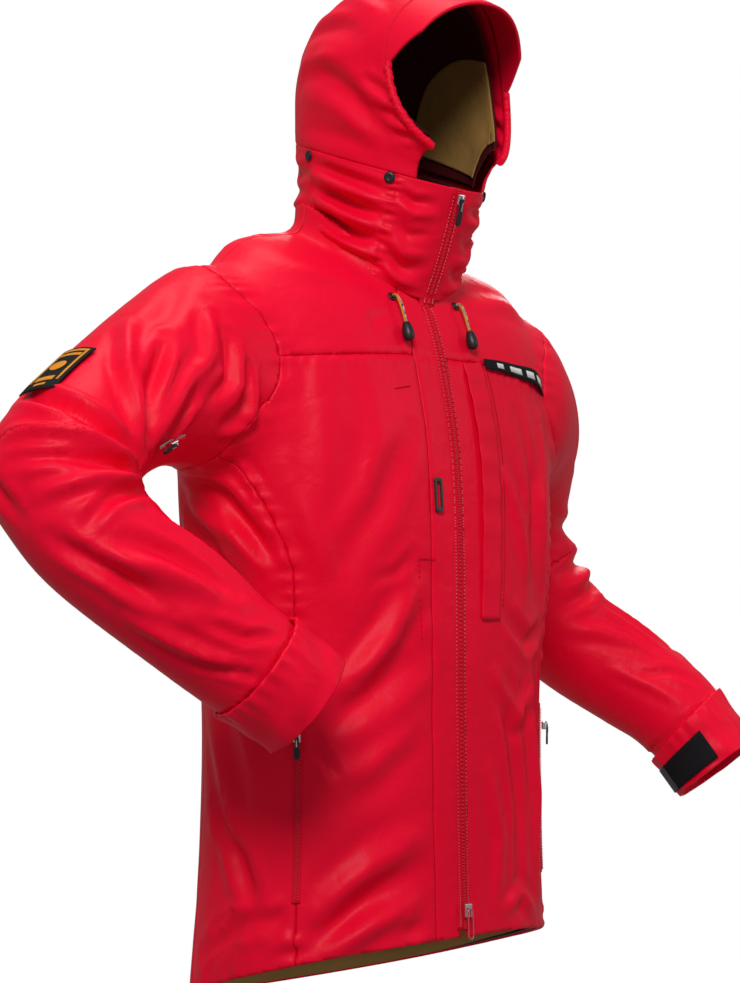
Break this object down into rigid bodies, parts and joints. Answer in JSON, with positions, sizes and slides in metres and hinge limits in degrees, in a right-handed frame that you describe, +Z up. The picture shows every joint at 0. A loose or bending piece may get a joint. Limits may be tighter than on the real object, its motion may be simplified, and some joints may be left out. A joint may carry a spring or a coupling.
{
  "type": "foul weather jacket",
  "caption": "Hooded, hip-length waterproof sailing jacket with full front zip, adjustable cuffs, zipped pockets and collar drawcords, shaped as worn with one arm bent.",
  "frame": {"origin": "middle of the base of the neck, where the jacket hangs on the wearer's shoulders", "axes": "+X to the wearer's left, -Y to the front (the zip), +Z up"},
  "size_m": [1.0103, 0.3963, 1.0577],
  "materials": {
    "shell_red": "woven shell cloth, soft sheen",
    "shell_red_light": "woven shell cloth over a stiffener",
    "lining_gold": "soft mesh lining",
    "zip_red": "woven zip tape",
    "zip_coil_red": "moulded zip coil",
    "trim_black": "moulded rubbery trim",
    "hook_black": "hook-and-loop tape",
    "metal_silver": "plated zip slider",
    "wire_red": "coated wire loop",
    "cord_orange": "braided cord",
    "badge_cloth": "woven badge",
    "stud_black": "press stud cap"
  },
  "bodies": {
    "torso": {"back_panel": "shell_red", "back_yoke": "shell_red", "body_lining": "lining_gold", "chest_label": "badge_cloth", "collar_left": "shell_red", "collar_lining": "lining_gold", "collar_right": "shell_red", "cord_eyelet_left": "stud_black", "cord_eyelet_right": "stud_black", "front_panel_left": "shell_red", "front_panel_right": "shell_red", "front_yoke_left": "shell_red", "front_yoke_right": "shell_red", "hand_pocket_zip_left": "zip_red", "hand_pocket_zip_right": "zip_red", "hanger_loop": "shell_red", "hem_cord_lock_left": "stud_black", "hem_cord_lock_right": "stud_black", "hem_drawcord": "cord_orange", "press_stud_front_left": "stud_black", "press_stud_front_right": "stud_black", "press_stud_rear_left": "stud_black", "press_stud_rear_right": "stud_black", "side_panel_left": "shell_red", "side_panel_right": "shell_red", "storm_strip": "shell_red", "zip_coil": "zip_coil_red", "zip_tape": "zip_red"},
    "hood": {"face_channel_left": "shell_red", "face_channel_right": "shell_red", "hood_crown": "shell_red", "hood_lining": "lining_gold", "hood_side_left": "shell_red", "hood_side_right": "shell_red", "visor": "shell_red_light"},
    "right_upper_sleeve": {"upper_sleeve_right": "shell_red", "arm_badge": "badge_cloth"},
    "right_forearm": {"forearm_right": "shell_red", "cuff_right": "shell_red"},
    "right_cuff_tab": {"cuff_tab_right": "hook_black"},
    "left_upper_sleeve": {"upper_sleeve_left": "shell_red"},
    "left_forearm": {"forearm_left": "shell_red", "cuff_left": "shell_red"},
    "left_cuff_tab": {"cuff_tab_left": "hook_black"},
    "main_zip_top_slider": {"main_zip_top_slider": "metal_silver"},
    "main_zip_top_pull": {"main_zip_top_puller": "trim_black"},
    "main_zip_bottom_slider": {"main_zip_bottom_slider": "metal_silver"},
    "main_zip_bottom_pull": {"main_zip_bottom_loop": "wire_red"},
    "hand_pocket_right_slider": {"hand_pocket_right_slider": "metal_silver"},
    "hand_pocket_right_pull": {"hand_pocket_right_puller": "trim_black"},
    "hand_pocket_left_slider": {"hand_pocket_left_slider": "metal_silver"},
    "hand_pocket_left_pull": {"hand_pocket_left_puller": "trim_black"},
    "pit_zip_slider": {"pit_zip_slider": "metal_silver"},
    "pit_zip_pull": {"pit_zip_puller": "trim_black"},
    "chest_zip_loop": {"chest_zip_loop": "trim_black"},
    "chest_flap": {"chest_pocket_flap": "shell_red"},
    "right_cord_end": {"drawcord_right": "cord_orange", "toggle_right": "trim_black"},
    "left_cord_end": {"drawcord_left": "cord_orange", "toggle_left": "trim_black"}
  },
  "joints": [
    {"name": "hood_tip_back", "type": "hinge", "parent": "torso", "child": "hood", "pos_m": [0, 0.08587, 0.13671], "axis": [-1, 0, 0], "range_deg": [0, 12]},
    {"name": "right_shoulder_lift", "type": "hinge", "parent": "torso", "child": "right_upper_sleeve", "pos_m": [-0.19556, 0.012, -0.02758], "axis": [0, 1, 0], "range_deg": [0, 14]},
    {"name": "right_elbow_straighten", "type": "hinge", "parent": "right_upper_sleeve", "child": "right_forearm", "pos_m": [-0.48674, -0.03464, -0.23419], "axis": [0.0285, 0.8879, -0.4592], "range_deg": [0, 12]},
    {"name": "right_cuff_tab_peel", "type": "hinge", "parent": "right_forearm", "child": "right_cuff_tab", "pos_m": [-0.21362, -0.10415, -0.42622], "axis": [0.7609, -0.3109, -0.5695], "range_deg": [0, 30]},
    {"name": "left_shoulder_lift", "type": "hinge", "parent": "torso", "child": "left_upper_sleeve", "pos_m": [0.19556, 0.012, -0.02758], "axis": [0, -1, 0], "range_deg": [0, 14]},
    {"name": "left_elbow_straighten", "type": "hinge", "parent": "left_upper_sleeve", "child": "left_forearm", "pos_m": [0.34538, 0.18175, -0.32254], "axis": [0.8878, -0.1742, 0.4259], "range_deg": [0, 12]},
    {"name": "left_cuff_tab_peel", "type": "hinge", "parent": "left_forearm", "child": "left_cuff_tab", "pos_m": [0.42062, -0.10552, -0.52202], "axis": [-0.2618, 0.5227, 0.8113], "range_deg": [0, 30]},
    {"name": "main_zip_top_slide", "type": "slide", "parent": "torso", "child": "main_zip_top_slider", "axis": [0, 0.3027, -0.9531], "range_m": [0, 0.012]},
    {"name": "main_zip_top_pull_lift", "type": "hinge", "parent": "main_zip_top_slider", "child": "main_zip_top_pull", "pos_m": [0, -0.1291, 0.04607], "axis": [-1, 0, 0], "range_deg": [0, 60]},
    {"name": "main_zip_bottom_slide", "type": "slide", "parent": "torso", "child": "main_zip_bottom_slider", "axis": [0, 0.0378, 0.9993], "range_m": [0, 0.06]},
    {"name": "main_zip_bottom_pull_lift", "type": "hinge", "parent": "main_zip_bottom_slider", "child": "main_zip_bottom_pull", "pos_m": [0, -0.13592, -0.66313], "axis": [-1, 0, 0], "range_deg": [0, 60]},
    {"name": "hand_pocket_right_slide", "type": "slide", "parent": "torso", "child": "hand_pocket_right_slider", "axis": [-0.0008, -0.0031, -1], "range_m": [0, 0.08]},
    {"name": "hand_pocket_right_pull_lift", "type": "hinge", "parent": "hand_pocket_right_slider", "child": "hand_pocket_right_pull", "pos_m": [-0.17435, -0.07804, -0.49055], "axis": [-0.6873, 0.7261, -0.0203], "range_deg": [0, 60]},
    {"name": "hand_pocket_left_slide", "type": "slide", "parent": "torso", "child": "hand_pocket_left_slider", "axis": [0.0008, -0.0031, -1], "range_m": [0, 0.08]},
    {"name": "hand_pocket_left_pull_lift", "type": "hinge", "parent": "hand_pocket_left_slider", "child": "hand_pocket_left_pull", "pos_m": [0.17435, -0.07804, -0.49055], "axis": [-0.6873, -0.7261, 0.0203], "range_deg": [0, 60]},
    {"name": "pit_zip_slide", "type": "slide", "parent": "right_upper_sleeve", "child": "pit_zip_slider", "axis": [-0.8948, -0.1949, -0.4017], "range_m": [0, 0.01]},
    {"name": "pit_zip_pull_lift", "type": "hinge", "parent": "pit_zip_slider", "child": "pit_zip_pull", "pos_m": [-0.31646, -0.0769, -0.22075], "axis": [-0.2259, -0.5784, 0.7838], "range_deg": [0, 60]},
    {"name": "chest_zip_loop_lift", "type": "hinge", "parent": "torso", "child": "chest_zip_loop", "pos_m": [-0.02835, -0.12013, -0.23859], "axis": [-0.9994, 0.0334, -0.0094], "range_deg": [0, 60]},
    {"name": "chest_flap_open", "type": "hinge", "parent": "torso", "child": "chest_flap", "pos_m": [0.06462, -0.11838, -0.22922], "axis": [0.0078, 0.0816, 0.9966], "range_deg": [0, 25]},
    {"name": "right_cord_swing", "type": "hinge", "parent": "torso", "child": "right_cord_end", "pos_m": [-0.04508, -0.07582, -0.04975], "axis": [-1, 0, 0], "range_deg": [0, 25]},
    {"name": "left_cord_swing", "type": "hinge", "parent": "torso", "child": "left_cord_end", "pos_m": [0.04508, -0.07582, -0.04975], "axis": [-1, 0, 0], "range_deg": [0, 25]}
  ]
}
